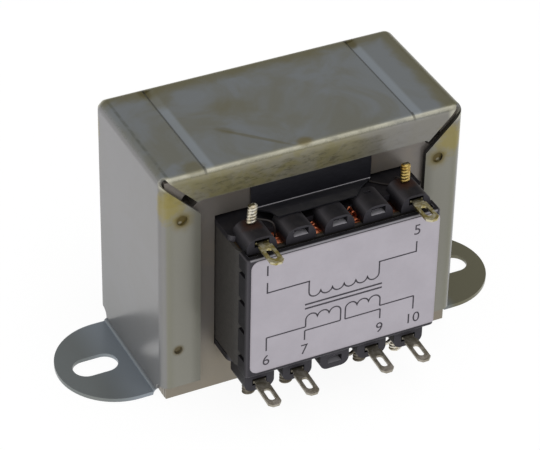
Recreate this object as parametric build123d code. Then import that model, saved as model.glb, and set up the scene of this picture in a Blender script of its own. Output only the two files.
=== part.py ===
from build123d import *
import os

# A small open-frame mains transformer for a chassis. The row frame has X along the line of the two
# feet, Y towards the back and Z up, with the origin between the feet's slots on their underside.

# Lamination pile. An EI stamping has its other sizes in fixed shares of the tongue.
tongue = 19.0
packet = 3.0
packets = 9
corner_hole_r = 1.65

# Folded sheet frame
sheet = 0.75
bend_r = 1.0
core_gap = 0.3
side_lip = 7.45
top_lip = 5.65
lip_corner_r = 0.9
lip_rise = 3.1
mitre_gap = 1.45
rear_mitre_back = 0.6
stake_high = 39.65
stake_high_inset = 3.9
stake_high_r = 1.0
stake_low = 11.4
stake_low_inset = 3.1
stake_low_r = 0.8
stake_depth = 0.4
stray_inset = 5.0
stray_drop = 1.1
crease_left = 20.8
crease_right = 19.7
crease_steep = 0.3
crease_gentle = 1.8

# Feet
slot_out = 7.05
slot_width = 5.2
slot_length = 8.65
foot_beyond_slot = 7.3
foot_half = 11.4
foot_bend_r = 0.5
foot_root_r = 1.6

# Split bobbin
tube_gap = 0.15
tube_wall = 1.0
window_gap_x = 0.1
window_gap_low = 0.2
window_gap_top = 0.6
flange = 1.2
partition = 1.2
partition_share = 0.5
coil_reach = 10.7
flange_front = 6.2
flange_corner_r = 1.5

# Terminal blocks, five to a row
positions = 5
row_margin = 1.0
block_width = 5.8
block_length = 5.9
top_block_r = 2.3
low_block_r = 1.6
top_block_rise = 2.0
low_block_drop = 3.9
top_slot_inset = 1.2
low_slot_inset = 1.9
mouth_width = 2.8
mouth_height = 1.4
mouth_depth = 1.5

# Solder tags
tag_sheet = 0.5
tag_root_width = 2.5
tag_neck_width = 2.0
tag_blade_width = 2.6
tag_blade_start = 1.1
top_tag_reach = 6.6
low_tag_reach = 7.0
tag_chamfer = 0.7
tag_hole_width = 1.25
tag_hole_length = 3.0
tag_hole_inset = 1.4
post_width = 1.2
post_back = 4.4
top_post_height = 4.0
low_post_height = 4.1
tag_fit = 0.04
tag_bend_out = 0.4
top_tag_droop = 0.0
low_tag_droop = 4.0

# Windings and their insulation
layer_fit = 0.03
tape = 0.3
layer_tape = 0.2
inner_share = 0.47
wrap_thickness = 0.7
wrap_corner_r = 3.2
winding_corner_r = 0.8

# Insulation flap, from behind the top lip out over the bobbin's flange
flap_sheet = 0.25
flap_left = 12.2
flap_right = 11.4
flap_tip_left = 10.1
flap_tip_right = 5.2
flap_behind_lip = 1.6
flap_lean = 0.35
flap_fold_rise = 0.05
flap_lap = 2.0

# Clip-on front cover and its label
cover_wall = 1.2
cover_side_wall = 0.9
cover_air = 1.1
cover_side = 2.1
cover_low_gap = 0.0
cover_top_rise = 0.5
cover_corner_r = 1.6
vent_height = 1.0
vent_inset = 0.8
vent_pitch = 6.1
vents = 4
label_sheet = 0.1
label_margin_left = 0.8
label_margin_right = 0.25
label_margin_low = 0.9
label_margin_top = 0.4
label_corner_r = 1.6
label_trimmed_r = 0.4

# How far a cut runs past the face it opens
overcut = 1.0

# Wire ends, wrapped and soldered on the posts
thin_wire = 0.35
lead_hidden = 0.8
lead_clear = 1.2
lead_aside = 1.2
lead_foot_aside = 1.0
thick_wire = 0.7
wrap_turns = 6
wrap_clear = 0.1
wrap_bare_tip = 0.45
solder_skin = 0.12

# Sizes that follow from those above
leg = tongue / 2
window_w = tongue / 2
window_h = 1.5 * tongue
core_w = 3 * tongue
core_h = 2.5 * tongue
stack = packet * packets
face_y = stack / 2
half_w = core_w / 2 + core_gap + sheet
half_d = face_y + core_gap + sheet
frame_top = core_h + core_gap + sheet
lip_low = frame_top - top_lip
flap_top = lip_low + flap_behind_lip
slot_at = half_w + slot_out
outer_r = bend_r + sheet
tube_x = tongue / 2 + tube_gap + tube_wall
tube_y = face_y + tube_gap + tube_wall
bobbin_low = leg + window_gap_low
bobbin_height = window_h - window_gap_low - window_gap_top
bobbin_top = bobbin_low + bobbin_height
room_low = bobbin_low + flange
room_top = bobbin_top - flange
partition_z = room_low + (room_top - room_low) * partition_share
flange_x = tongue / 2 + window_w - window_gap_x
row_width = 2 * (flange_x - row_margin)
pitch = (row_width - block_width) / (positions - 1)
coil_y = face_y + coil_reach
ledge_y = face_y + flange_front
top_face = bobbin_top + top_block_rise
low_face = bobbin_low - low_block_drop
top_slot_z = top_face - top_slot_inset
low_slot_z = low_face + low_slot_inset
post_y = coil_y - post_back
wrap_x = flange_x - layer_fit
wrap_in_x = wrap_x - wrap_thickness
wrap_in_y = coil_y - wrap_thickness
tape_x = wrap_in_x - layer_fit
tape_y = wrap_in_y - layer_fit
cover_back = coil_y + cover_air
cover_front = cover_back + cover_wall
cover_low = room_low + cover_low_gap
cover_top = room_top + cover_top_rise


def block(x0, x1, y0, y1, z0, z1):
    """A box given by its lowest and highest corners."""
    middle = ((x0 + x1) / 2, (y0 + y1) / 2, (z0 + z1) / 2)
    return Pos(*middle) * Box(x1 - x0, y1 - y0, z1 - z0)


def ring(in_x, in_y, out_x, out_y, z0, z1, in_r, out_r):
    """A closed band round the coil, with rounded corners inside and out."""
    outer = Pos(0, 0, z0) * extrude(RectangleRounded(2 * out_x, 2 * out_y, out_r), z1 - z0)
    inner = Pos(0, 0, z0) * extrude(RectangleRounded(2 * in_x, 2 * in_y, in_r), z1 - z0)
    return outer - inner


def write(part, node):
    """Write one node's solids to its own STEP file."""
    part.label = node
    export_step(part, f"parts/{node}.step")


# Core

def e_packet():
    """One packet of E stampings, yoke up, centred on Y."""
    plate = block(-core_w / 2, core_w / 2, -packet / 2, packet / 2, leg, core_h)
    for side in (-1, 1):
        middle = side * (tongue / 2 + window_w / 2)
        plate -= block(middle - window_w / 2, middle + window_w / 2, -packet, packet, 0, leg + window_h)
        plate -= corner_hole(side * (core_w / 2 - leg / 2), core_h - leg / 2)
    return plate


def i_packet():
    """One packet of I stampings that closes the legs of the E below."""
    plate = block(-core_w / 2, core_w / 2, -packet / 2, packet / 2, 0, leg)
    for side in (-1, 1):
        plate -= corner_hole(side * (core_w / 2 - leg / 2), leg / 2)
    return plate


def corner_hole(x, z):
    """A stamping's corner hole, which this frame leaves empty."""
    return Pos(x, 0, z) * Rot(90, 0, 0) * Cylinder(corner_hole_r, 2 * packet)


def core_nodes():
    """Packets face each other way up in turn, so that the joints overlap."""
    groups = {
        "e_laminations_upright": (e_packet(), 0, False),
        "i_laminations_lower": (i_packet(), 0, False),
        "e_laminations_inverted": (e_packet(), 1, True),
        "i_laminations_upper": (i_packet(), 1, True),
    }
    nodes = {}
    for node, (plate, first, inverted) in groups.items():
        if inverted:
            plate = Pos(0, 0, core_h) * Rot(180, 0, 0) * plate
        places = range(first, packets, 2)
        copies = [Pos(0, -face_y + packet * (i + 0.5), 0) * plate for i in places]
        nodes[node] = Compound(children=copies)
    return nodes


# Frame

def folded_shell(half_x, half_y, top, radius):
    """A rounded block that stands open below, for the sheet's outside or inside."""
    depth = 2 * radius
    body = block(-half_x, half_x, -half_y, half_y, -depth, top)
    rounded = [e for e in body.edges() if e.center().Z > -depth + radius / 2]
    return fillet(rounded, radius)


def lip_opening(side):
    """What the fold leaves open at the front or back, between the lips."""
    inner = half_w - side_lip
    notch = mitre_gap / 2 * 2 ** 0.5
    shift = frame_top - half_w
    points = [
        (-inner, -2 * outer_r),
        (-inner, inner + shift - notch),
        (-(lip_low - shift - notch), lip_low),
        (lip_low - shift - notch, lip_low),
        (inner, inner + shift - notch),
        (inner, -2 * outer_r),
    ]
    wall = extrude(Plane.XZ * make_face(Polyline(*points, close=True)), 2 * sheet)
    upper = [e for e in wall.edges().filter_by(Axis.Y) if e.center().Z > 0]
    wall = fillet(upper, lip_corner_r)
    near = half_d - sheet
    shift_y = -near if side < 0 else near + 2 * sheet
    return Pos(0, shift_y, 0) * wall


def mitre_cut(side_x, side_y):
    """The slit between a side lip and the top lip, with a round end in the corner bend."""
    length = 4 * side_lip
    start = half_d - outer_r + mitre_gap / 2
    if side_y > 0:
        start += rear_mitre_back
    slit = Pos(0, -side_lip, 0) * Box(length, 2 * side_lip, mitre_gap)
    slit += Rot(0, 90, 0) * Cylinder(mitre_gap / 2, length)
    slit = Rot(0, -45, 0) * slit
    if side_x < 0:
        slit = mirror(slit, Plane.YZ)
    slit = Pos(side_x * half_w, -start, frame_top) * slit
    return slit if side_y < 0 else mirror(slit, Plane.XZ)


def foot_root_cut(side_y):
    """What is cut away below a lip and beside the foot, with a round inner corner."""
    wide = 2 * half_d
    corner = Pos(0, side_y * (foot_half + wide / 2), lip_rise - wide / 2)
    body = corner * Box(4 * half_w, wide, wide)
    edge = [e for e in body.edges().filter_by(Axis.X) if e.center().Z > 0 and abs(e.center().Y) < half_d]
    return fillet(edge, foot_root_r)


def foot(side):
    """One foot, folded outwards from the side's lower end, with its slotted hole."""
    root = half_w + foot_bend_r
    tip = slot_at + foot_beyond_slot
    turn = foot_bend_r + sheet
    high = lip_rise + foot_root_r
    outline = [
        Line((half_w, high), (half_w, turn)),
        RadiusArc((half_w, turn), (root, sheet), foot_bend_r),
        Line((root, sheet), (tip, sheet)),
        Line((tip, sheet), (tip, 0)),
        Line((tip, 0), (root, 0)),
        RadiusArc((root, 0), (half_w - sheet, turn), -turn),
        Line((half_w - sheet, turn), (half_w - sheet, high)),
        Line((half_w - sheet, high), (half_w, high)),
    ]
    strip = extrude(Plane.XZ * make_face(outline), foot_half, both=True)
    centre = tip - foot_half
    plan = Pos(centre / 2, 0) * Rectangle(centre, 2 * foot_half) + Pos(centre, 0) * Circle(foot_half)
    strip &= extrude(plan, high)
    strip -= Pos(slot_at, 0, sheet / 2) * extrude(SlotOverall(slot_length, slot_width), sheet, both=True)
    return strip if side > 0 else mirror(strip, Plane.YZ)


def crease(x):
    """A pressed crease along the top: the groove outside and the ridge that bears on the core."""
    reach = half_d - outer_r
    ends = [(-crease_steep, 0), (crease_gentle, 0), (0, -core_gap)]
    wedge = extrude(Plane.XZ * make_face(Polyline(*ends, close=True)), reach, both=True)
    groove = Pos(x, 0, frame_top) * wedge
    ridge = Pos(x, 0, frame_top - sheet) * wedge
    return groove, ridge


def stakes(side_x, side_y):
    """One side lip's two dimples, sunk outside and raised inside; the front right pair is off its line."""
    strays = side_x > 0 and side_y < 0
    high = (stray_inset, stake_high - stray_drop) if strays else (stake_high_inset, stake_high)
    low = (stray_inset, stake_low) if strays else (stake_low_inset, stake_low)
    sunk = None
    raised = None
    for (inset, height), radius in ((high, stake_high_r), (low, stake_low_r)):
        place = Pos(side_x * (half_w - inset), 0, height) * Rot(90, 0, 0)
        pit = Pos(0, side_y * (half_d - stake_depth / 2), 0) * place * Cylinder(radius, stake_depth)
        bump = Pos(0, side_y * (half_d - sheet - core_gap / 2), 0) * place * Cylinder(radius, core_gap)
        sunk = pit if sunk is None else sunk + pit
        raised = bump if raised is None else raised + bump
    return sunk, raised


def clamp_frame():
    """The frame: one sheet folded over the core, with lips, feet, creases and staked dimples."""
    body = folded_shell(half_w, half_d, frame_top, outer_r)
    body -= folded_shell(half_w - sheet, half_d - sheet, frame_top - sheet, bend_r)
    body -= block(-2 * half_w, 2 * half_w, -2 * half_d, 2 * half_d, -half_d, foot_bend_r + sheet)
    for side_y in (-1, 1):
        body -= lip_opening(side_y)
        body -= foot_root_cut(side_y)
        for side_x in (-1, 1):
            body -= mitre_cut(side_x, side_y)
            sunk, raised = stakes(side_x, side_y)
            body += raised
            body -= sunk
    for x in (-crease_left, crease_right):
        groove, ridge = crease(x)
        body += ridge
        body -= groove
    for side in (-1, 1):
        body += foot(side)
    return body


# Bobbin

def tag_passage(x, slot_z, face_z):
    """The cavity in a terminal block: a wide mouth, a flat passage and a way out for the post."""
    mouth = block(x - mouth_width / 2, x + mouth_width / 2, -coil_y - overcut, -coil_y + mouth_depth,
                  slot_z - mouth_height / 2, slot_z + mouth_height / 2)
    half = tag_root_width / 2 + tag_fit
    low = slot_z - tag_sheet / 2
    deep = -post_y + tag_sheet / 2 + tag_fit
    mouth += block(x - half, x + half, -coil_y, deep, low, low + tag_sheet + tag_fit)
    near = -post_y - tag_sheet / 2 - tag_fit
    if face_z > slot_z:
        ends = (low, face_z + overcut)
    else:
        ends = (face_z - overcut, low + tag_sheet)
    mouth += block(x - post_width / 2 - tag_fit, x + post_width / 2 + tag_fit, near, deep, *ends)
    return mouth


def terminal_row(inner_z, face_z, slot_z, edge_r):
    """A row of terminal blocks on the front of a flange, from the flange to the blocks' outer face."""
    row = None
    low, high = sorted((inner_z, face_z))
    for i in range(positions):
        x = (i - (positions - 1) / 2) * pitch
        body = block(x - block_width / 2, x + block_width / 2, -coil_y, -coil_y + block_length, low, high)
        outer = [e for e in body.edges().filter_by(Axis.Y) if abs(e.center().Z - face_z) < 0.01]
        body = fillet(outer, edge_r)
        body -= tag_passage(x, slot_z, face_z)
        row = body if row is None else row + body
    return row


def bobbin_flange(z0):
    """A flange plate, wide at the back and set back at the front for the terminal blocks."""
    plate = Pos(0, (coil_y - ledge_y) / 2, z0) * extrude(
        RectangleRounded(2 * flange_x, coil_y + ledge_y, flange_corner_r), flange)
    return plate


def bobbin():
    """The moulded bobbin: tube, two flanges, the wall between the two chambers and ten sockets."""
    tube = RectangleRounded(2 * tube_x, 2 * tube_y, winding_corner_r)
    body = Pos(0, 0, bobbin_low) * extrude(tube, bobbin_height)
    body += bobbin_flange(bobbin_low)
    body += bobbin_flange(bobbin_top - flange)
    half = partition / 2
    wall = RectangleRounded(2 * (tape_x - layer_fit), 2 * (tape_y - layer_fit), wrap_corner_r)
    body += Pos(0, 0, partition_z - half) * extrude(wall, partition)
    body += terminal_row(room_top, top_face, top_slot_z, top_block_r)
    body += terminal_row(room_low, low_face, low_slot_z, low_block_r)
    inner_x = tube_x - tube_wall
    inner_y = tube_y - tube_wall
    body -= block(-inner_x, inner_x, -inner_y, inner_y, 0, core_h)
    return body


# Windings and insulation

def coil_nodes():
    """The two chambers, filled from the tube outwards, and the pressed paper wrap around both."""
    upper = (partition_z + partition / 2 + layer_fit, room_top - layer_fit)
    lower = (room_low + layer_fit, partition_z - partition / 2 - layer_fit)
    last_x = tape_x - tape
    last_y = tape_y - tape
    build_x = last_x - tube_x - layer_tape
    build_y = last_y - tube_y - layer_tape
    mid_x = tube_x + build_x * inner_share
    mid_y = tube_y + build_y * inner_share
    corner = winding_corner_r
    middle_r = wrap_corner_r * inner_share
    outer_corner = wrap_corner_r - wrap_thickness
    inner = (tube_x, tube_y)
    middle = (mid_x, mid_y)
    over = (mid_x + layer_tape, mid_y + layer_tape)
    last = (last_x, last_y)
    full = (tape_x, tape_y)
    return {
        "primary_winding": ring(*inner, *last, *upper, corner, outer_corner),
        "primary_tape": ring(*last, *full, *upper, outer_corner, outer_corner + tape),
        "secondary_winding_inner": ring(*inner, *middle, *lower, corner, middle_r),
        "secondary_layer_tape": ring(*middle, *over, *lower, middle_r, middle_r + layer_tape),
        "secondary_winding_outer": ring(*over, *last, *lower, middle_r + layer_tape, outer_corner),
        "secondary_tape": ring(*last, *full, *lower, outer_corner, outer_corner + tape),
        "coil_wrap": ring(wrap_in_x, wrap_in_y, wrap_x, coil_y, room_low, room_top,
                          wrap_corner_r - wrap_thickness, wrap_corner_r),
    }


def insulation_flap():
    """A creased strip: up behind the top lip, then out over the flange to the middle sockets."""
    y0 = -face_y
    fold_y = y0 - flap_lean
    fold_z = bobbin_top + flap_fold_rise
    rest_y = -(coil_y - block_length)
    lap_y = rest_y - flap_lap
    t = flap_sheet
    side = [
        (y0, flap_top),
        (y0 - t, flap_top),
        (y0 - t, lip_low),
        (fold_y - t, fold_z + t),
        (rest_y, top_face + t),
        (lap_y, top_face + t),
        (lap_y, top_face),
        (rest_y, top_face),
        (fold_y, fold_z),
        (y0, lip_low),
    ]
    strip = extrude(Plane.YZ * make_face(Polyline(*side, close=True)), flap_left, both=True)
    corners = [
        (-flap_left, y0),
        (flap_right, y0),
        (flap_right, fold_y - t),
        (flap_tip_right, lap_y),
        (-flap_tip_left, lap_y),
        (-flap_left, fold_y - t),
    ]
    return strip & extrude(make_face(Polyline(*corners, close=True)), frame_top)


# Cover and label

def front_cover():
    """The moulded cover in front of the coil: a flat plate with two short sides and vent slots."""
    height = cover_top - cover_low
    depth = cover_side + cover_wall
    body = block(-flange_x, flange_x, -cover_front, -cover_front + depth, cover_low, cover_top)
    front = [e for e in body.edges().filter_by(Axis.Z) if e.center().Y < -cover_back]
    body = fillet(front, cover_corner_r / 2)
    tall = body.edges().filter_by(Axis.X).sort_by(Axis.Y)[:2]
    body = chamfer(tall, cover_wall / 4)
    inside = flange_x - cover_side_wall
    body -= block(-inside, inside, -cover_back, 0, 0, core_h)
    middle = cover_low + height / 2
    for i in range(vents):
        z = middle + (i - (vents - 1) / 2) * vent_pitch
        for side in (-1, 1):
            x0, x1 = sorted((side * inside, side * half_w))
            body -= block(x0, x1, -cover_front + vent_inset, 0, z - vent_height / 2, z + vent_height / 2)
    return body


def label():
    """The paper label on the cover, left blank; its lower right corner is cut almost square."""
    low = cover_low + label_margin_low
    high = cover_top - label_margin_top
    left = -flange_x + label_margin_left
    right = flange_x - label_margin_right
    corner = 2 * label_corner_r
    outline = RectangleRounded(right - left, high - low, label_corner_r)
    face = Pos((left + right) / 2, (low + high) / 2) * outline
    face += Pos(right - corner / 2, low + corner / 2) * RectangleRounded(corner, corner, label_trimmed_r)
    return Pos(0, -cover_front, 0) * extrude(Plane.XZ * face, label_sheet)


# Tags and wire ends

def solder_tag(x, slot_z, up):
    """One stamped tag: blade with its wire hole, root in the socket, and the post bent at the back."""
    tip = coil_y + (top_tag_reach if up else low_tag_reach)
    neck = coil_y + tag_blade_start
    bend = coil_y + tag_bend_out
    low = slot_z - tag_sheet / 2
    droop = top_tag_droop if up else low_tag_droop
    blade = Pos(0, -(tip + neck) / 2) * Rectangle(tag_blade_width, tip - neck)
    blade = chamfer(blade.vertices().sort_by(Axis.Y)[:2], tag_chamfer)
    hole_y = tip - tag_hole_inset - tag_hole_length / 2
    blade -= Pos(0, -hole_y) * Rot(0, 0, 90) * SlotOverall(tag_hole_length, tag_hole_width)
    overlap = tag_sheet / 2
    blade += Pos(0, -(neck + overlap + bend) / 2) * Rectangle(tag_neck_width, neck + overlap - bend)
    blade = Pos(0, bend, -tag_sheet / 2) * extrude(blade, tag_sheet)
    bent = Rot(droop, 0, 0) * blade + Rot(0, 90, 0) * Cylinder(tag_sheet / 2, tag_neck_width)
    back = post_y - tag_sheet / 2
    root = Pos(0, -(coil_y + back) / 2) * Rectangle(tag_root_width, coil_y - back)
    root += Pos(0, -(coil_y + bend) / 2) * Rectangle(tag_neck_width, bend - coil_y)
    body = Pos(0, -bend, slot_z) * bent + Pos(0, 0, low) * extrude(root, tag_sheet)
    if up:
        ends = (low, top_face + top_post_height)
    else:
        ends = (low_face - low_post_height, low + tag_sheet)
    body += block(-post_width / 2, post_width / 2, -post_y - tag_sheet / 2, -post_y + tag_sheet / 2, *ends)
    return Pos(x, 0, 0) * body


def wrapped_turns(x, wire, z0, z1):
    """Turns of wire soldered round a post into one ribbed sleeve."""
    span = z1 - z0
    inner_r = post_width / 2
    turn = span / wrap_turns
    rib = solder_skin + wire / 2
    points = [(0, 0), (inner_r + rib / 2, 0)]
    for i in range(wrap_turns):
        points.append((inner_r + rib + wire / 4, turn * (i + 0.5)))
        points.append((inner_r + rib / 2 + wire / 4, turn * (i + 1)))
    points.append((0, span))
    profile = Plane.XZ * make_face(Polyline(*points, close=True))
    sleeve = revolve(profile, Axis.Z)
    sleeve -= block(-post_width / 2, post_width / 2, -tag_sheet / 2, tag_sheet / 2, -overcut, span + overcut)
    return Pos(x, -post_y, z0) * sleeve


def wire_end(points, radii, wire):
    """A round wire along straight runs joined by arcs."""
    path = FilletPolyline(*points, radius=radii)
    section = Plane(path @ 0, z_dir=path % 0) * Circle(wire / 2)
    return sweep(section, path)


def lead_nodes():
    """Each winding's two ends, from the coil to the wrapped post."""
    first = (positions - 1) / 2 * pitch
    gap = pitch / 2
    coil_front = tape_y - tape
    nodes = {}
    z0 = top_face + wrap_clear
    z1 = top_face + top_post_height - wrap_bare_tip
    over = top_face + wrap_clear + thin_wire
    start_y = -(coil_front + ledge_y) / 2
    touch = post_width / 2 + thin_wire / 2 + tag_fit
    left = wire_end([(-first + gap, start_y, room_top - layer_fit),
                     (-first + gap, start_y, over),
                     (-first + touch, -post_y, over + thin_wire)], [thin_wire * 2], thin_wire)
    nodes["primary_lead_left"] = wrapped_turns(-first, thin_wire, z0, z1) + left
    flat = bobbin_top + thin_wire / 2
    behind = -(coil_y - block_length) + thin_wire
    right = wire_end([(flap_right - lead_hidden, -face_y - lead_clear, flat),
                      (first - lead_aside, behind, flat),
                      (first - lead_foot_aside, behind, over),
                      (first - touch, -post_y, over + thin_wire)], [thin_wire * 3, thin_wire], thin_wire)
    nodes["primary_lead_right"] = wrapped_turns(first, thin_wire, z0, z1) + right
    z1 = low_face - wrap_clear
    z0 = low_face - low_post_height + wrap_bare_tip
    under = low_face - wrap_clear - thick_wire
    names = ("secondary_lead_a1", "secondary_lead_a2", "secondary_lead_b1", "secondary_lead_b2")
    tags = (-first, -first + pitch, first - pitch, first)
    notches = (-first + gap, -gap, gap, first - gap)
    lead = wire_end([(gap, start_y, room_low + layer_fit),
                     (gap, start_y, under),
                     (touch, -post_y, under)], [thick_wire * 1.5], thick_wire)
    wrapped = wrapped_turns(0, thick_wire, z0, z1) + lead
    for node, tag_x, notch_x in zip(names, tags, notches):
        nodes[node] = Pos(tag_x, 0, 0) * (wrapped if notch_x > tag_x else mirror(wrapped, Plane.YZ))
    return nodes


def tag_nodes():
    """The six tags: the mains pair at the ends of the top row, two pairs below."""
    first = (positions - 1) / 2 * pitch
    return {
        "primary_tag_left": solder_tag(-first, top_slot_z, True),
        "primary_tag_right": solder_tag(first, top_slot_z, True),
        "secondary_tag_a1": solder_tag(-first, low_slot_z, False),
        "secondary_tag_a2": solder_tag(-first + pitch, low_slot_z, False),
        "secondary_tag_b1": solder_tag(first - pitch, low_slot_z, False),
        "secondary_tag_b2": solder_tag(first, low_slot_z, False),
    }


def main():
    """Write every node of the transformer."""
    os.makedirs("parts", exist_ok=True)
    nodes = {"clamp_frame": clamp_frame(), "bobbin": bobbin()}
    nodes.update(core_nodes())
    nodes.update(coil_nodes())
    nodes["insulation_flap"] = insulation_flap()
    nodes["front_cover"] = front_cover()
    nodes["label"] = label()
    nodes.update(tag_nodes())
    nodes.update(lead_nodes())
    for node, part in nodes.items():
        write(part, node)


main()
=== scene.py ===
import math
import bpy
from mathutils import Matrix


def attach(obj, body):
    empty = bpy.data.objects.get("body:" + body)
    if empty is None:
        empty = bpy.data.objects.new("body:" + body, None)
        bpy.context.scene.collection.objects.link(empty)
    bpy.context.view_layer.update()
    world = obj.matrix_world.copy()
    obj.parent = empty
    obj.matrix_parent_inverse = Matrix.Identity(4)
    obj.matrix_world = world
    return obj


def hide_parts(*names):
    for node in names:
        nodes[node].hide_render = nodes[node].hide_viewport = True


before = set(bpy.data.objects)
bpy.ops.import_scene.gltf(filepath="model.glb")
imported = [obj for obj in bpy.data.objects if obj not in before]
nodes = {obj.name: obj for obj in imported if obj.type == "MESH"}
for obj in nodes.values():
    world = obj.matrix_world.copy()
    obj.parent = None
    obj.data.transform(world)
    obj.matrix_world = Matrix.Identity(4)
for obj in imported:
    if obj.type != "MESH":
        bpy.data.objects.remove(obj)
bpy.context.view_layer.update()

from types import SimpleNamespace
import bmesh
import bpy
import numpy as np
from mathutils import Matrix, Vector

# A small open-frame mains transformer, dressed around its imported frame.
# Lengths in the dictionaries below are millimetres; the scene itself is in metres.
mm = 0.001


def report(stage):
    print("transformer:", stage)


def camelName(name):
    words = name.split("_")
    return words[0] + "".join(word.capitalize() for word in words[1:])


# Shader helpers

def tone(red, green, blue):
    # screen values from 0 to 255 turned into the linear light that a shader works in
    return tuple(((value / 255 + 0.055) / 1.055) ** 2.4 for value in (red, green, blue)) + (1,)


def addNode(kind, sockets, tree=None, **settings):
    # one shader node, in the tree of the outputs that feed it; a socket gets such an output or a plain value
    sources = {name: value for name, value in sockets.items() if isinstance(value, bpy.types.NodeSocket)}
    if tree is None:
        tree = next(iter(sources.values())).id_data
    made = tree.nodes.new("ShaderNode" + kind)
    for name, value in settings.items():
        setattr(made, name, value)
    for name, value in sockets.items():
        if name in sources:
            tree.links.new(value, made.inputs[name])
        else:
            made.inputs[name].default_value = value
    return made


def feed(source, target):
    source.id_data.links.new(source, target)


def calc(operation, first, second=0.0, clamp=False):
    return addNode("Math", {0: first, 1: second}, operation=operation, use_clamp=clamp).outputs[0]


def times(first, *others):
    for other in others:
        first = calc("MULTIPLY", first, other)
    return first


def apart(value, level):
    return calc("ABSOLUTE", calc("SUBTRACT", value, level))


def isBelow(value, level):
    return calc("LESS_THAN", value, level)


def isAbove(value, level):
    return calc("GREATER_THAN", value, level)


def vectorCalc(operation, first, second):
    return addNode("VectorMath", {0: first, 1: second}, operation=operation).outputs["Vector"]


def lengthOf(vector):
    return addNode("VectorMath", {0: vector}, operation="LENGTH").outputs["Value"]


def painted(shades, base, coats):
    # coats of colour over a base: each names its shade and is as strong as its masks and shares multiplied
    colour = shades[base]
    for shade, *masks in coats:
        colour = addNode("Mix", {0: times(*masks), 6: colour, 7: shades[shade]}, data_type="RGBA").outputs[2]
    return colour


def spread(value, low, high, toLow=0.0, toHigh=1.0):
    # a smooth step from one level to another while the value goes from low to high
    sockets = {"Value": value, "From Min": low, "From Max": high, "To Min": toLow, "To Max": toHigh}
    return addNode("MapRange", sockets, interpolation_type="SMOOTHSTEP").outputs["Result"]


def noise(place, scale, detail=3.0, roughness=0.5, distortion=0.0):
    sockets = {"Vector": place, "Scale": scale, "Detail": detail, "Roughness": roughness}
    return addNode("TexNoise", {**sockets, "Distortion": distortion}).outputs["Fac"]


def axes(vector):
    return addNode("SeparateXYZ", {"Vector": vector}).outputs


def coordinate(tree, kind):
    return addNode("TexCoord", {}, tree).outputs[kind]


def millimetres(tree):
    # the piece's own coordinates, counted in millimetres
    sockets = {0: coordinate(tree, "Object"), "Scale": 1 / mm}
    return addNode("VectorMath", sockets, operation="SCALE").outputs["Vector"]


def facing(tree):
    # how squarely the surface faces along X, Y and Z
    return axes(coordinate(tree, "Normal"))


def bumpFrom(height, depth, under=None):
    # depth is in millimetres for a height that runs from 0 to 1
    sockets = {"Height": height, "Distance": depth * mm, "Strength": 1.0}
    if under is not None:
        sockets["Normal"] = under
    return addNode("Bump", sockets).outputs["Normal"]


def newMaterial(name, metallic=0.0, specular=0.5):
    made = bpy.data.materials.new(name)
    made.use_nodes = True
    shader = made.node_tree.nodes["Principled BSDF"]
    shader.inputs["Metallic"].default_value = metallic
    shader.inputs["Specular IOR Level"].default_value = specular
    return made, made.node_tree, shader.inputs


def closeSurface(sockets, colour, height, roughness, uneven, depth, relief=None):
    # the base colour, a roughness that follows the height, and relief from the same height or another one
    feed(colour, sockets["Base Color"])
    feed(calc("ADD", roughness, times(height, uneven)), sockets["Roughness"])
    feed(bumpFrom(height if relief is None else relief, depth), sockets["Normal"])


# Shared surface effects

def newGroup(name, inputs, outputs):
    # an empty group: an input's default is a number or a vector, and every output is a number
    group = bpy.data.node_groups.new(name, "ShaderNodeTree")
    for label, value in inputs.items():
        kind = "NodeSocketVector" if isinstance(value, tuple) else "NodeSocketFloat"
        group.interface.new_socket(label, in_out="INPUT", socket_type=kind).default_value = value
    for label in outputs:
        group.interface.new_socket(label, in_out="OUTPUT", socket_type="NodeSocketFloat")
    return group, group.nodes.new("NodeGroupInput").outputs, group.nodes.new("NodeGroupOutput").inputs


def grainGroup():
    # fine grain: a cloudy height, and rare small flecks where a cell's distance is short
    inputs = {"Place": (0, 0, 0), "Scale": 1.0, "Flecks": 0.1}
    group, given, made = newGroup("fineGrain", inputs, ["Height", "Fleck"])
    feed(noise(given["Place"], given["Scale"], 4.0, 0.6), made["Height"])
    cells = addNode("TexVoronoi", {"Vector": given["Place"], "Scale": given["Scale"]})
    feed(isBelow(cells.outputs["Distance"], given["Flecks"]), made["Fleck"])
    return group


def edgeGroup():
    # an edge or bend is where the surface faces none of the three axes squarely
    group, given, made = newGroup("edgeTurn", {"Width": 0.25}, ["Edge"])
    alongX, alongY, alongZ = (calc("ABSOLUTE", part) for part in facing(group))
    most = calc("MAXIMUM", calc("MAXIMUM", alongX, alongY), alongZ)
    feed(calc("DIVIDE", calc("SUBTRACT", 1.0, most), given["Width"], True), made["Edge"])
    return group


def spotGroup():
    # a ragged soft spot: one at its centre, zero beyond its reach on each axis
    inputs = {"Place": (0, 0, 0), "Centre": (0, 0, 0), "Reach": (1, 1, 1), "Ragged": 0.3}
    group, given, made = newGroup("softSpot", inputs, ["Mask"])
    away = vectorCalc("DIVIDE", vectorCalc("SUBTRACT", given["Place"], given["Centre"]), given["Reach"])
    uneven = times(calc("SUBTRACT", noise(given["Place"], 0.7, 3.0, 0.6), 0.5), given["Ragged"])
    feed(spread(calc("ADD", lengthOf(away), uneven), 1.0, 0.35), made["Mask"])
    return group


def dustGroup():
    # dust settles where a surface faces up, in soft clouds
    group, given, made = newGroup("settledDust", {"Place": (0, 0, 0), "Amount": 0.5}, ["Mask"])
    clouds = spread(noise(given["Place"], 0.5, 4.0, 0.65), 0.35, 0.75)
    feed(times(spread(facing(group)["Z"], 0.2, 0.95), clouds, given["Amount"]), made["Mask"])
    return group


effects = {"grain": grainGroup(), "edge": edgeGroup(), "spot": spotGroup(), "dust": dustGroup()}


def effect(name, tree=None, **sockets):
    return addNode("Group", sockets, tree, node_tree=effects[name]).outputs


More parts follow.
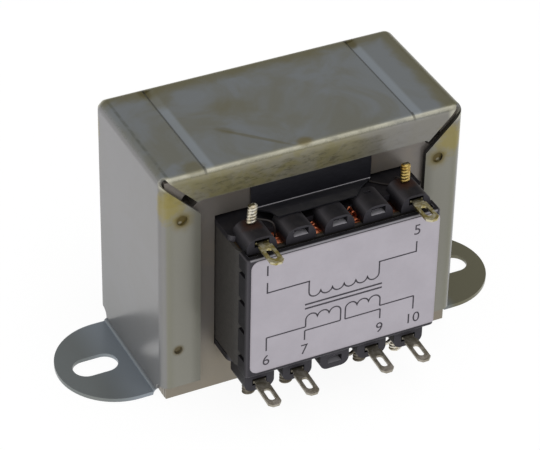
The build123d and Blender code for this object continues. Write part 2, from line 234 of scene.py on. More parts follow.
def edgeMask(tree, width=0.3):
    return effect("edge", tree, Width=width)["Edge"]


def grainOf(place, scale, flecks):
    return effect("grain", Place=place, Scale=scale, Flecks=flecks)


def spot(place, centre, reach, ragged):
    return effect("spot", Place=place, Centre=centre, Reach=reach, Ragged=ragged)["Mask"]


# Plated sheet: a place is the level where a mask starts and the level where it is whole

plating = {
    "metallic": 0.25, "sideMetallic": 0.1, "specular": 0.3, "roughness": 0.19, "wave": 0.05, "peel": 0.003,
    "plain": tone(133, 132, 133), "cool": tone(124, 129, 131), "olive": tone(108, 102, 68),
    "straw": tone(126, 120, 82), "brown": tone(84, 70, 16), "ochre": tone(96, 88, 48),
    "bronze": tone(88, 80, 40), "umber": tone(110, 98, 52), "gold": tone(146, 132, 56),
    "ring": tone(124, 112, 62), "pale": tone(137, 136, 123), "worn": tone(206, 203, 184),
    "slope": tone(152, 160, 168), "grooveShade": tone(56, 56, 50), "turned": tone(74, 78, 66),
    "drawn": tone(78, 74, 56), "innerLip": tone(100, 99, 88), "outerLip": tone(116, 116, 92),
    "foot": tone(119, 126, 126),
    "footBendSheen": tone(152, 161, 171), "sideShade": tone(108, 113, 113), "edge": tone(176, 174, 160),
    "cut": tone(40, 38, 38), "fleck": tone(70, 68, 58),
    "creases": (-20.8, 19.7), "turnLine": 27.9, "bend": (13.86, 48.18), "top": (47.4, 48.4), "topFace": 48.5,
    "side": (28.6, 29.4), "aboveFoot": (1.4, 2.4), "onFoot": (1.6, 0.9), "rearEdge": (11.6, 14.6),
    "rightEdge": (26.2, 28.6), "foldOut": (12.8, 14.3), "foldUp": (42.5, 43.2), "foldLeft": (14.0, 4.0),
    "drawnDown": (48.0, 46.0), "drawnLeft": (20.0, 6.0), "lipOut": (14.2, 14.5), "lipUp": (43.4, 42.0),
    "lipInner": (24.4, 22.4), "lipOuter": (26.6, 28.6), "leftFoot": (-38.5, -31.0), "rightFoot": (30.5, 33.0),
    "sideDown": (34.0, 4.0), "slit": (20.0, 13.75), "halfway": (24.0, 26.0), "strayOut": (1.1, 1.9),
    "strayUp": (0.0, 1.1),
}

# centre, reach, raggedness, shade and share, on the frame folded onto its right rear quarter; two of them are
# painted highlights
highDimple, lowDimple = (25.65, 14.3, 39.65), (26.45, 14.3, 11.4)
stainAndGlintSpots = [
    ((28.3, 14.3, 43.2), (3.8, 2.4, 4.6), 1.1, "gold", 0.7),
    (highDimple, (2.9, 1.6, 2.9), 0.5, "ring", 0.7),
    (highDimple, (1.8, 1.6, 1.8), 0.2, "brown", 0.95),
    # a painted glint at the bottom of the upper dimple
    ((25.9, 14.2, 39.05), (0.5, 0.6, 0.4), 0.1, "worn", 0.35),
    (lowDimple, (1.5, 1.6, 1.5), 0.3, "brown", 0.85),
    # a painted highlight on the rounded rim at the top front corner
    ((28.9, 14.0, 47.9), (1.9, 1.6, 1.9), 0.3, "worn", 0.75),
]

# centre, reach, turn in degrees, shade and share, on the top
topMarks = [
    ((-8.6, -8.7), (9.5, 0.6), 44.0, "ochre", 0.5),
    ((-12.9, -4.4), (2.6, 1.3), 44.0, "ochre", 0.45),
    ((-8.5, 1.5), (5.5, 4.5), 20.0, "olive", 0.45),
    ((-19.0, 9.8), (3.4, 5.0), 30.0, "olive", 0.55),
    ((-22.6, -12.4), (3.0, 2.4), 0.0, "olive", 0.7),
    ((20.4, 12.4), (1.6, 2.6), 0.0, "bronze", 0.8),
    ((-20.9, 12.4), (1.6, 2.6), 0.0, "bronze", 0.8),
    ((-1.6, -12.9), (2.2, 1.6), 0.0, "umber", 0.7),
]


def sheetMasks(tree):
    # places on the frame, and the masks that more than one coat uses
    place = millimetres(tree)
    x, y, z = axes(place)
    acrossX, acrossY = calc("ABSOLUTE", x), calc("ABSOLUTE", y)
    return SimpleNamespace(
        tree=tree, place=place, x=x, y=y, z=z, acrossX=acrossX, acrossY=acrossY,
        onTop=spread(z, *plating["top"]),
        onSide=times(spread(acrossX, *plating["side"]), spread(z, *plating["aboveFoot"])),
        fold=times(spread(acrossY, *plating["foldOut"]), spread(z, *plating["foldUp"])),
        drift=noise(place, 0.22, 4.0, 0.6, 0.8))


def topCoats(sheet):
    # cool plate on the top, partly a tint and partly painted shade, with olive clouds, a painted highlight on
    # the slope beside each crease, a broken line of painted shade before each side's bend, and olive along
    # the rear and right edges
    onTop = sheet.onTop
    clouds = spread(noise(sheet.place, 0.07, 4.0, 0.6, 0.8), 0.4, 0.66)
    # a broken line of painted shade along the top, just before each side's bend
    turnLine = spread(apart(sheet.acrossX, plating["turnLine"]), 0.45, 0.1)
    broken = spread(noise(sheet.place, 0.5, 3.0, 0.6), 0.35, 0.6, 0.15, 0.5)
    rear = spread(calc("ADD", sheet.y, times(sheet.drift, 4.0)), *plating["rearEdge"])
    right = spread(calc("ADD", sheet.x, times(sheet.drift, 3.0)), *plating["rightEdge"])
    # the cool coat darkens and cools the top: partly a tint, partly painted shade
    coats = [("cool", onTop, 0.9), ("olive", clouds, spread(onTop, 0.0, 1.0, 0.08, 0.45))]
    for at in plating["creases"]:
        # a painted highlight on the slope beside each crease
        slope = times(spread(sheet.x, at - 0.1, at + 0.1), spread(sheet.x, at + 2.1, at + 1.3))
        coats.append(("slope", slope, onTop, 0.6))
    return coats + [("turned", turnLine, broken, onTop), ("olive", calc("MAXIMUM", rear, right), onTop, 0.75)]


def foldCoats(sheet):
    # straw above each lip, a painted highlight along the middle of the bend, with fine dark marks along the
    # lip
    # the bend's middle line, where the painted highlight lies
    out, up = plating["bend"]
    bend = {"X": 0.0, "Y": calc("SUBTRACT", sheet.acrossY, out), "Z": calc("SUBTRACT", sheet.z, up)}
    away = lengthOf(addNode("CombineXYZ", bend).outputs["Vector"])
    mottle = spread(sheet.drift, 0.35, 0.62, 0.6, 1.0)
    drawn = noise(vectorCalc("MULTIPLY", sheet.place, (0.3, 1.0, 1.0)), 1.5, 5.0, 0.75)
    onLip = times(spread(sheet.z, *plating["drawnDown"]), sheet.fold)
    return [("straw", sheet.fold, spread(sheet.x, *plating["foldLeft"], 0.3, 1.0), mottle, 0.9),
            ("worn", spread(away, 0.55, 0.12), spread(sheet.drift, 0.3, 0.6, 0.35, 0.8)),
            ("drawn", spread(drawn, 0.46, 0.7), onLip, spread(sheet.x, *plating["drawnLeft"], 0.1, 0.65))]


def lipCoats(sheet):
    # the side lips are paler, and duller towards their inner and outer edges
    lip = times(spread(sheet.acrossY, *plating["lipOut"]), spread(sheet.z, *plating["lipUp"]))
    return [("pale", lip, 0.75),
            ("innerLip", lip, spread(sheet.acrossX, *plating["lipInner"], 0.0, 0.5)),
            ("outerLip", lip, spread(sheet.acrossX, *plating["lipOuter"], 0.0, 0.35))]


def footCoats(sheet):
    # the feet, with painted sheen at the left one's bend and olive on the right one, and painted shade on the
    # sides' lower part
    onFoot = spread(sheet.z, *plating["onFoot"])
    return [("foot", onFoot, 0.8),
            # painted sheen near the left foot's bend
            ("footBendSheen", onFoot, spread(sheet.x, *plating["leftFoot"]), isBelow(sheet.x, 0.0), 0.75),
            ("olive", spread(sheet.x, *plating["rightFoot"]), 0.75),
            # painted shade darkens the lower part of each side
            ("sideShade", sheet.onSide, spread(sheet.z, *plating["sideDown"], 0.0, 0.32))]


def quarterPlace(sheet):
    # the frame folded onto its right rear quarter, with the front right pair of dimples moved back into line
    strays = times(isAbove(sheet.x, 0.0), isBelow(sheet.y, 0.0))
    low, high = plating["halfway"]
    outward = times(strays, spread(sheet.z, high, low, *plating["strayOut"]))
    upward = times(strays, spread(sheet.z, low, high, *plating["strayUp"]))
    folded = {"X": calc("ADD", sheet.acrossX, outward), "Y": sheet.acrossY, "Z": calc("ADD", sheet.z, upward)}
    return addNode("CombineXYZ", folded).outputs["Vector"]


def stainAndGlintCoats(sheet):
    # stains round the dimples and at the corners, a painted glint in the upper dimple and a painted highlight
    # at the top corner, then turned marks on the top
    quarter = quarterPlace(sheet)
    coats = [(shade, spot(quarter, *blot), share) for *blot, shade, share in stainAndGlintSpots]
    for (x, y), reach, turn, shade, share in topMarks:
        centre = (x, y, plating["topFace"])
        sockets = {"Vector": sheet.place, "Center": centre, "Angle": math.radians(turn)}
        turned = addNode("VectorRotate", sockets, rotation_type="Z_AXIS").outputs["Vector"]
        coats.append((shade, spot(turned, centre, (*reach, 1.5), 0.5), share))
    return coats


def edgeCoats(sheet):
    # painted shade in the crease grooves, rubbed edges, and the shadowed cut edge beside the right hand slit
    slitX, slitY = plating["slit"]
    coats = []
    for at in plating["creases"]:
        # painted shade along a thin line in each crease groove
        coats.append(("grooveShade", spread(apart(sheet.x, at - 0.08), 0.34, 0.14), sheet.onTop, 0.7))
    beside = times(isAbove(sheet.acrossY, slitY), isAbove(sheet.x, slitX), isBelow(sheet.y, 0.0))
    return coats + [("edge", edgeMask(sheet.tree), 0.15),
                    ("cut", spread(facing(sheet.tree)["X"], -0.5, -0.65), beside, 0.9)]


def platedSheet():
    # zinc plate, half mirror and half matt, olive where it was folded or pressed
    material, tree, sockets = newMaterial("platedSheet", plating["metallic"], plating["specular"])
    sheet = sheetMasks(tree)
    grain = grainOf(sheet.place, 1.4, 0.035)
    coats = []
    for coatsOf in (topCoats, foldCoats, lipCoats, footCoats, stainAndGlintCoats, edgeCoats):
        coats += coatsOf(sheet)
    feed(painted(plating, "plain", coats + [("fleck", grain["Fleck"], 0.35)]), sockets["Base Color"])
    feed(spread(sheet.onSide, 0.0, 1.0, plating["metallic"], plating["sideMetallic"]), sockets["Metallic"])
    rough = calc("ADD", plating["roughness"], times(grain["Height"], 0.1))
    feed(calc("ADD", rough, times(sheet.onTop, 0.06)), sockets["Roughness"])
    waves = bumpFrom(noise(sheet.place, 0.11, 1.0), plating["wave"])
    feed(bumpFrom(noise(sheet.place, 2.2, 2.0), plating["peel"], waves), sockets["Normal"])
    return material


# Other finishes

steel = {
    "bare": tone(116, 111, 106), "varnished": tone(124, 116, 106), "rust": tone(122, 86, 54),
    "low": tone(146, 137, 118), "edge": tone(150, 144, 134), "rustDown": (6.0, 0.0), "lowDown": (16.0, 6.0),
}


def coreSteel():
    # silicon steel under a thin brown varnish, lighter low down as painted light, and rusted at the bottom
    material, tree, sockets = newMaterial("coreSteel", metallic=0.3)
    place = millimetres(tree)
    z = axes(place)["Z"]
    colour = painted(steel, "bare", [
        ("varnished", spread(noise(place, 0.12, 4.0, 0.6, 0.4), 0.35, 0.7)),
        ("rust", spread(noise(place, 0.8, 5.0, 0.7), 0.6, 0.8), spread(z, *steel["rustDown"])),
        # painted light: the lower core is made lighter
        ("low", spread(z, *steel["lowDown"], 0.0, 0.55)),
        ("edge", edgeMask(tree), 0.3)])
    rolled = grainOf(vectorCalc("MULTIPLY", place, (1.0, 1.0, 0.12)), 6.0, 0.02)["Height"]
    closeSurface(sockets, colour, rolled, 0.24, 0.16, 0.004)
    return material


moulding = {
    "dark": tone(26, 25, 29), "light": tone(34, 33, 37), "paintedFrontLight": tone(76, 74, 80),
    "edge": tone(100, 97, 101), "rim": tone(160, 158, 164), "dust": tone(86, 78, 72),
    "paintedMouthLight": tone(206, 204, 210), "flux": tone(62, 38, 28), "fleck": tone(110, 106, 104),
    "coverTop": 36.7, "coverBack": -24.3, "coverHalf": 18.2, "mouthFloors": ((37.5, 9.2), (7.0, 1.5)),
    "mouthBack": -22.6,
    "fluxSpots": ((-15.0, -19.9, 39.4), (15.0, -19.9, 39.4)), "fluxReach": (2.7, 2.6, 2.0),
}


def blackMoulding():
    # glass-filled moulding: nearly black, with painted light on the faces that look to the front, paler on
    # its edges, and dusty where it faces up; painted light lies on the floors of the blocks' mouths, and a
    # painted highlight along the cover's top edge
    material, tree, sockets = newMaterial("blackMoulding", specular=0.14)
    place = millimetres(tree)
    x, y, z = axes(place)
    acrossX, edge, faces = calc("ABSOLUTE", x), edgeMask(tree), facing(tree)
    onCover = times(isBelow(y, moulding["coverBack"]), isBelow(acrossX, moulding["coverHalf"]))
    lying = times(spread(faces["Z"], 0.6, 0.9), isBelow(y, moulding["mouthBack"]))
    grain = grainOf(place, 5.0, 0.05)
    coats = [
        ("light", spread(noise(place, 0.4, 4.0, 0.6), 0.35, 0.7)),
        # painted light on the faces that look to the front
        ("paintedFrontLight", spread(faces["Y"], -0.6, -0.9), 0.55),
        ("edge", edge, 0.5),
        # a painted highlight along the cover's top edge
        ("rim", edge, onCover, isBelow(apart(z, moulding["coverTop"]), 0.3), 0.9),
        ("dust", effect("dust", Place=place, Amount=0.1)["Mask"]),
    ]
    # painted light on the floors of the blocks' mouths
    for level, reach in moulding["mouthFloors"]:
        coats.append(("paintedMouthLight", lying, isBelow(apart(z, level), 0.12), isBelow(acrossX, reach), 0.85))
    coats += [("flux", spot(place, at, moulding["fluxReach"], 0.9), 0.7) for at in moulding["fluxSpots"]]
    colour = painted(moulding, "dark", coats + [("fleck", grain["Fleck"], 0.2)])
    closeSurface(sockets, colour, grain["Height"], 0.36, 0.2, 0.012)
    return material


enamel = {"light": tone(206, 128, 94), "dark": tone(166, 84, 54), "varnish": tone(52, 30, 24),
          "rightEnd": (7.5, 9.0), "leftEnd": (-12.2, -13.2)}


def copperWire():
    # enamelled copper, and thick dark varnish towards both ends
    material, tree, sockets = newMaterial("copperWire", metallic=0.9)
    place = millimetres(tree)
    x = axes(place)["X"]
    colour = painted(enamel, "light", [
        ("dark", spread(noise(place, 0.6, 4.0, 0.6), 0.35, 0.7)),
        ("varnish", calc("MAXIMUM", spread(x, *enamel["rightEnd"]), spread(x, *enamel["leftEnd"])), 0.9)])
    closeSurface(sockets, colour, grainOf(place, 4.0, 0.02)["Height"], 0.22, 0.2, 0.006)
    return material


film = {"light": tone(74, 58, 34), "dark": tone(58, 44, 28)}


def windingTape():
    # thin polyester film, dark brown with varnish
    material, tree, sockets = newMaterial("windingTape")
    place = millimetres(tree)
    colour = painted(film, "light", [("dark", spread(noise(place, 0.3, 3.0, 0.5), 0.35, 0.7))])
    closeSurface(sockets, colour, grainOf(place, 2.0, 0.02)["Height"], 0.2, 0.2, 0.02)
    return material


def fibreSheet(name, light, dark, roughness, depth, stretch, crease=None):
    # pressed fibre: long faint strands that lie one way, lighter at the cut edges, and a painted highlight
    # along a crease
    material, tree, sockets = newMaterial(name, specular=0.4)
    place = millimetres(tree)
    shades = {"light": light, "dark": dark, "dust": tone(96, 92, 88), "crease": tone(214, 212, 216)}
    strands = noise(vectorCalc("MULTIPLY", place, stretch), 3.0, 5.0, 0.7, 0.3)
    coats = [("light", spread(strands, 0.3, 0.7)), ("light", edgeMask(tree, 0.25), 0.5),
             ("dust", effect("dust", Place=place, Amount=0.12)["Mask"])]
    # a painted highlight along the crease
    if crease:
        away = lengthOf(vectorCalc("MULTIPLY", vectorCalc("SUBTRACT", place, (0, *crease)), (0, 1, 1)))
        coats.append(("crease", spread(away, 0.28, 0.14), spread(strands, 0.2, 0.5, 0.35, 0.9)))
    closeSurface(sockets, painted(shades, "dark", coats), strands, roughness, 0.15, depth)
    return material


paper = {"light": tone(184, 179, 187), "dark": tone(177, 172, 180), "rim": tone(150, 142, 148),
         "middle": (0.275, 24.05), "sideRim": (17.9, 18.4), "endRim": (11.8, 12.25),
         "ink": tone(58, 54, 62), "thinInk": tone(120, 114, 122)}


def labelPaper():
    # coated paper, faintly mottled, a little darker towards its rim
    material, tree, sockets = newMaterial("labelPaper", specular=0.35)
    place = millimetres(tree)
    x, y, z = axes(place)
    middleX, middleZ = paper["middle"]
    sideRim = spread(apart(x, middleX), *paper["sideRim"])
    endRim = spread(apart(z, middleZ), *paper["endRim"])
    colour = painted(paper, "light", [
        ("dark", spread(noise(place, 0.16, 5.0, 0.65), 0.3, 0.7)),
        ("rim", calc("MAXIMUM", sideRim, endRim), 0.3)])
    closeSurface(sockets, colour, grainOf(place, 7.0, 0.02)["Height"], 0.42, 0.14, 0.004)
    return material


def labelInk():
    # stamped ink, thin in places
    material, tree, sockets = newMaterial("labelInk", specular=0.3)
    thin = spread(noise(millimetres(tree), 2.5, 4.0, 0.7), 0.45, 0.8)
    feed(painted(paper, "ink", [("thinInk", thin, 0.4)]), sockets["Base Color"])
    feed(calc("ADD", 0.45, times(thin, 0.2)), sockets["Roughness"])
    return material


tinning = {"mouth": tone(52, 46, 36), "mouthTurn": (-24.5, -23.9), "fleck": tone(70, 58, 34), "soft": 0.14}


def tinnedMetal(name, bare, coated, share, roughness, depth, metallic=1.0, inMouth=False):
    # a dipped coat that runs thick and thin over the metal under it, with painted shade inside the block's
    # mouth
    material, tree, sockets = newMaterial(name, metallic=metallic)
    place = millimetres(tree)
    grain = grainOf(place, 3.5, 0.07)
    clouds = spread(noise(place, 0.9, 4.0, 0.6, 0.5), share - tinning["soft"], share + tinning["soft"])
    coats = [("coated", clouds), ("coated", edgeMask(tree), 0.3)]
    if inMouth:
        # painted shade, darker deeper inside the block's mouth
        coats.append(("mouth", spread(axes(place)["Y"], *tinning["mouthTurn"], 0.0, 0.85)))
    shades = {"bare": bare, "coated": coated, **tinning}
    colour = painted(shades, "bare", coats + [("fleck", grain["Fleck"], 0.5)])
    closeSurface(sockets, colour, grain["Height"], roughness, 0.2, depth, noise(place, 1.6, 2.0))
    return material


finishes = {
    "plated_sheet": platedSheet(), "core_steel": coreSteel(), "black_moulding": blackMoulding(),
    "copper_wire": copperWire(), "winding_tape": windingTape(), "label_paper": labelPaper(),
    "ink": labelInk(),
}
# light and dark tone, roughness, relief, stretch of the strands, and where a crease with its painted
# highlight lies in y and z
for name, *values in (
        ("pressed_paper", tone(56, 53, 49), tone(38, 35, 33), 0.55, 0.03, (0.3, 0.3, 1)),
        ("black_film", tone(34, 34, 40), tone(25, 25, 30), 0.3, 0.006, (0.2, 1, 1), (-14.1, 37.66))):
    finishes[name] = fibreSheet(camelName(name), *values)
# bare and coated tone, share of bare metal, roughness, relief, metallic, and whether it is in a block's
# mouth, where painted shade darkens it
for name, *values in (
        ("upper_tags", tone(150, 136, 78), tone(198, 192, 166), 0.52, 0.26, 0.05, 1.0, True),
        ("lower_tags", tone(128, 121, 104), tone(170, 164, 152), 0.5, 0.3, 0.05, 0.5, True),
        # the lower wire ends: duller solder, and darker as painted shade
        ("dull_solder", tone(86, 78, 62), tone(130, 124, 112), 0.5, 0.34, 0.05, 0.6),
        ("fluxed_wire", tone(146, 108, 40), tone(196, 172, 104), 0.5, 0.28, 0.04),
        ("tinned_wire", tone(176, 160, 122), tone(222, 218, 206), 0.45, 0.28, 0.04),
        ("dark_enamel", tone(26, 22, 22), tone(40, 32, 30), 0.5, 0.4, 0.02, 0.0)):
    finishes[name] = tinnedMetal(camelName(name), *values)
report("finishes made")


# Mesh helpers

def buildMesh(name, points, faces):
    # points in millimetres become a mesh in metres
    mesh = bpy.data.meshes.new(name)
    mesh.from_pydata((np.asarray(points, float) * mm).tolist(), [], [list(map(int, face)) for face in faces])
    mesh.validate()
    return mesh


def linkObject(name, data):
    made = bpy.data.objects.new(name, data)
    bpy.context.scene.collection.objects.link(made)
    return made


def addPiece(name, mesh, finish, stands=(), sharpAngle=35.0):
    # a finished piece rides on the one body and takes the place of its solids
    piece = linkObject(name, mesh)
    mesh.polygons.foreach_set("use_smooth", np.ones(len(mesh.polygons), bool))
    mesh.set_sharp_from_angle(angle=math.radians(sharpAngle))
    mesh.materials.clear()
    mesh.materials.append(finishes[finish])
    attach(piece, "root")
    if stands:
        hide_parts(*stands)
    return piece


def gridQuads(rows, columns, closeRows=False, closeColumns=False):
    # four corners of each cell of a grid that is stored row after row
    row = np.arange(rows if closeRows else rows - 1)
    column = np.arange(columns if closeColumns else columns - 1)
    row, column = (part.ravel() for part in np.meshgrid(row, column, indexing="ij"))
    nextRow, nextColumn = (row + 1) % rows, (column + 1) % columns
    corners = [row * columns + column, row * columns + nextColumn,
               nextRow * columns + nextColumn, nextRow * columns + column]
    return np.stack(corners, 1)


def cappedTube(rows, sides):
    # the faces of rings joined row after row, with a cap on the first and the last
    last = (rows - 1) * sides
    caps = [list(range(sides))[::-1], list(range(last, last + sides))]
    return gridQuads(rows, sides, False, True).tolist() + caps


def roundedPath(halfX, halfY, radius, steps=8):
    # each corner is its centre plus radius times (cos a, sin a); the outward direction is (cos a, sin a)
    turn = np.linspace(0, math.pi / 2, steps)
    angle = (np.arange(4)[:, None] * math.pi / 2 + turn).ravel()
    signX = np.repeat([1, -1, -1, 1], steps)
    signY = np.repeat([1, 1, -1, -1], steps)
    outward = np.stack([np.cos(angle), np.sin(angle)], 1)
    centre = np.stack([signX * (halfX - radius), signY * (halfY - radius)], 1)
    return centre + radius * outward, outward


def bandAround(path, outward, section, stretch=1.0):
    # a closed section (offset, height) carried round a closed path: p(s) + offset stretch(s) outward(s)
    offset = section[None, :, 0] * np.broadcast_to(stretch, len(path))[:, None]
    across = path[:, None, :] + outward[:, None, :] * offset[:, :, None]
    height = np.broadcast_to(section[None, :, 1, None], across.shape[:2] + (1,))
    return np.concatenate([across, height], 2).reshape(-1, 3), gridQuads(len(path), len(section), True, True)


def tube(path, radius, sides=10):
    # a round section carried along a path: p(s) + r (n cos a + b sin a), with n turned as little as it can be
    path = np.asarray(path, float)
    ahead = np.gradient(path, axis=0)
    ahead /= np.linalg.norm(ahead, axis=1)[:, None]
    start = np.cross(ahead[0], (0.31, 0.52, 0.8))
    normals = [start / np.linalg.norm(start)]
    for direction in ahead[1:]:
        carried = normals[-1] - direction * (normals[-1] @ direction)
        normals.append(carried / np.linalg.norm(carried))
    normals = np.array(normals)
    binormals = np.cross(ahead, normals)
    angle = np.linspace(0, 2 * math.pi, sides, endpoint=False)
    ring = normals[:, None] * np.cos(angle)[None, :, None] + binormals[:, None] * np.sin(angle)[None, :, None]
    points = (path[:, None] + radius * ring).reshape(-1, 3)
    return points, [face[::-1] for face in cappedTube(len(path), sides)]


def softened(points, rounds=3):
    # corner cutting: each run keeps its points at a quarter and three quarters, and the two ends stay
    points = np.asarray(points, float)
    for _ in range(rounds):
        low = 0.75 * points[:-1] + 0.25 * points[1:]
        high = 0.25 * points[:-1] + 0.75 * points[1:]
        inner = np.stack([low, high], 1).reshape(-1, 3)
        points = np.concatenate([points[:1], inner[1:-1], points[-1:]])
    return points


def merged(shells):
    # several shells in one mesh: their points joined and their faces counted on
    points, faces, count = [], [], 0
    for shellPoints, shellFaces in shells:
        points.append(np.asarray(shellPoints, float))
        faces += [[index + count for index in face] for face in np.asarray(shellFaces, dtype=object).tolist()]
        count += len(shellPoints)
    return np.concatenate(points), faces


def closedPlate(front, back, faces, loops):
    # two like surfaces, joined by a wall round each loop of points
    count = len(front)
    made = faces + [[index + count for index in face[::-1]] for face in faces]
    for loop in loops:
        for here, there in zip(loop, loop[1:] + loop[:1]):
            made.append([there, here, here + count, there + count])
    return np.concatenate([front, back]), made


# Frame, bobbin and cover

brokenEdge = {"clamp_frame": 0.09, "bobbin": 0.16, "front_cover": 0.16, "tags": 0.06, "segments": 2}


def copyOfNode(node, name, finish, edge):
    # a merged copy of a solid, its flat faces made whole and its sharp edges broken
    source = bmesh.new()
    source.from_mesh(nodes[node].data)
    bmesh.ops.remove_doubles(source, verts=source.verts, dist=0.0005 * mm)
    bmesh.ops.dissolve_limit(source, angle_limit=math.radians(0.2), verts=source.verts, edges=source.edges)
    mesh = bpy.data.meshes.new(name)
    source.to_mesh(mesh)
    source.free()
    if mesh.has_custom_normals:
        mesh.normals_split_custom_set([(0, 0, 0)] * len(mesh.loops))
    piece = addPiece(name, mesh, finish, [node])
    bevel = piece.modifiers.new("brokenEdges", "BEVEL")
    bevel.width = edge * mm
    bevel.segments = brokenEdge["segments"]
    bevel.limit_method = "ANGLE"
    bevel.angle_limit = math.radians(35)
    bevel.use_clamp_overlap = True
    bevel.harden_normals = False
    piece.modifiers.new("evenNormals", "WEIGHTED_NORMAL").keep_sharp = False


for node, name, finish in (("clamp_frame", "clampFrame", "plated_sheet"),
                           ("bobbin", "bobbinMoulding", "black_moulding"),
                           ("front_cover", "frontCover", "black_moulding")):
    copyOfNode(node, name, finish, brokenEdge[node])
report("frame, bobbin and cover made")


# Core

core = {"tongue": 19.0, "sheet": 0.5, "air": 0.02, "perPacket": 6, "packets": 9, "hole": 1.65, "shift": 0.05,
        "holeArc": 8, "seed": 7}


def stamping(upper, lower, holeZ, holeX):
    # a plate cut along the line of its two holes, so that each half is one plain outline;
    # a hole's edge is its centre plus radius times (cos a, sin a)
    def holeEdge(side, angle):
        return (side * holeX, holeZ) + core["hole"] * np.stack([np.cos(angle), np.sin(angle)], 1)

    over = np.linspace(math.pi, 0, core["holeArc"] + 1)
    under = np.linspace(0, -math.pi, core["holeArc"] + 1)[1:-1]
    stretches = [upper, lower, holeEdge(-1, over), holeEdge(1, over), holeEdge(-1, under), holeEdge(1, under)]
    stops = np.cumsum([0] + [len(stretch) for stretch in stretches])
    rim, lowRim, leftOver, rightOver, leftUnder, rightUnder = (
        list(range(start, stop)) for start, stop in zip(stops[:-1], stops[1:]))
    above = rim + leftOver + rightOver
    below = [rim[-1], *lowRim, rim[0], rightOver[-1], *rightUnder, rightOver[0],
             leftOver[-1], *leftUnder, leftOver[0]]
    loops = [rim + lowRim, leftOver + leftUnder, rightOver + rightUnder]
    return np.concatenate(stretches), [above, below], loops


def sheetShell(plate, thickness, flipped, height):
    # front and back copies of a stamping, the other way up where it is flipped
    points, faces, loops = plate
    x, z = points[:, 0], points[:, 1]
    if flipped:
        z = height - z
    front = np.stack([x, np.zeros(len(points)), z], 1)
    points, faces = closedPlate(front, front + (0, thickness, 0), faces, loops)
    return points, [face[::-1] for face in faces] if flipped else faces


def layLaminations():
    # every packet is six stampings, laid the other way up from its neighbours
    tongue, sheet = core["tongue"], core["sheet"]
    leg, high, wide = tongue / 2, 2.5 * tongue, 1.5 * tongue
    lineE, lineI, holeX = high - leg / 2, leg / 2, wide - leg / 2
    depth = sheet * core["perPacket"] * core["packets"]
    legs = [(-wide, leg), (-tongue, leg), (-tongue, high - leg), (-leg, high - leg), (-leg, leg),
            (leg, leg), (leg, high - leg), (tongue, high - leg), (tongue, leg), (wide, leg)]
    plateE = stamping([(wide, lineE), (wide, high), (-wide, high), (-wide, lineE)], legs, lineE, holeX)
    plateI = stamping([(wide, lineI), (wide, leg), (-wide, leg), (-wide, lineI)], [(-wide, 0), (wide, 0)],
                      lineI, holeX)
    chance = np.random.default_rng(core["seed"])
    for node, plate, way in (("e_laminations_upright", plateE, 0), ("i_laminations_lower", plateI, 0),
                             ("e_laminations_inverted", plateE, 1), ("i_laminations_upper", plateI, 1)):
        shells = []
        for packet in range(way, core["packets"], 2):
            for number in range(core["perPacket"]):
                points, faces = sheetShell(plate, sheet - core["air"], way == 1, high)
                step = (packet * core["perPacket"] + number) * sheet
                nudge = chance.uniform(0, core["shift"])
                slide = chance.uniform(-core["shift"], core["shift"])
                shells.append((points + (slide, step - depth / 2 + core["air"] / 2, nudge), faces))
        mesh = buildMesh(camelName(node), *merged(shells))
        addPiece(camelName(node), mesh, "core_steel", [node])


layLaminations()
report("laminations laid")


# Windings

winding = {
    "tube": (10.65, 14.65), "corner": 0.8, "middle": (13.94, 18.56), "over": (14.14, 18.76),
    "outer": (17.84, 23.17), "upper": (24.18, 36.17), "lower": (10.93, 22.92), "thin": 0.42, "thick": 0.84,
    "loose": 0.07,
}


def woundSection(depth, low, high, wire, seed):
    # a rectangle whose sides are rows of round wires: inset = w/2 (1 - sqrt(1 - u u)), u across each wire
    chance = np.random.default_rng(seed)
    sides = []
    for length in (depth, high - low):
        count = round(length / wire)
        u = np.linspace(-0.96, 0.96, 5)
        along = (np.arange(count)[:, None] + (u + 1) / 2).ravel() * length / count
        inset = wire / 2 * (1 - np.sqrt(1 - u ** 2))
        slack = chance.uniform(0, winding["loose"], count)
        sides.append((along, (inset[None] + slack[:, None]).ravel()))
    (across, dipAcross), (rise, dipRise) = sides
    top = np.stack([across, high - dipAcross], 1)
    outer = np.stack([depth - dipRise, high - rise], 1)
    bottom = np.stack([depth - across, low + dipAcross], 1)
    hidden = np.stack([np.zeros(len(rise)), low + rise], 1)[::20]  # flat against the tube, so a few points do
    return np.concatenate([top, outer, bottom, hidden])[::-1]


def windCoil(node, inside, outside, chamber, gauge, seed, extra=()):
    # the wound section carried round the rounded tube, and stretched where the coil is deeper, front and back
    inner, outer, heights, wire = (winding[key] for key in (inside, outside, chamber, gauge))
    path, outward = roundedPath(*inner, winding["corner"])
    section = woundSection(outer[0] - inner[0], *heights, wire, seed)
    reach = (outer[1] - inner[1]) / (outer[0] - inner[0])
    shells = [bandAround(path, outward, section, 1 + (reach - 1) * np.abs(outward[:, 1]))]
    mesh = buildMesh(camelName(node), *merged(shells + list(extra)))
    addPiece(camelName(node), mesh, "copper_wire", [node], 60)


strand = {
    "notches": (-11.25, -3.75, 3.75, 11.25), "rises": (0.5, 1.0, 2.0, 0.15), "count": 8, "half": 14.5,
    "front": -20.15, "pitch": 0.4, "radius": 0.19, "low": 35.9, "width": 0.75, "waver": 0.08, "seed": 11,
}


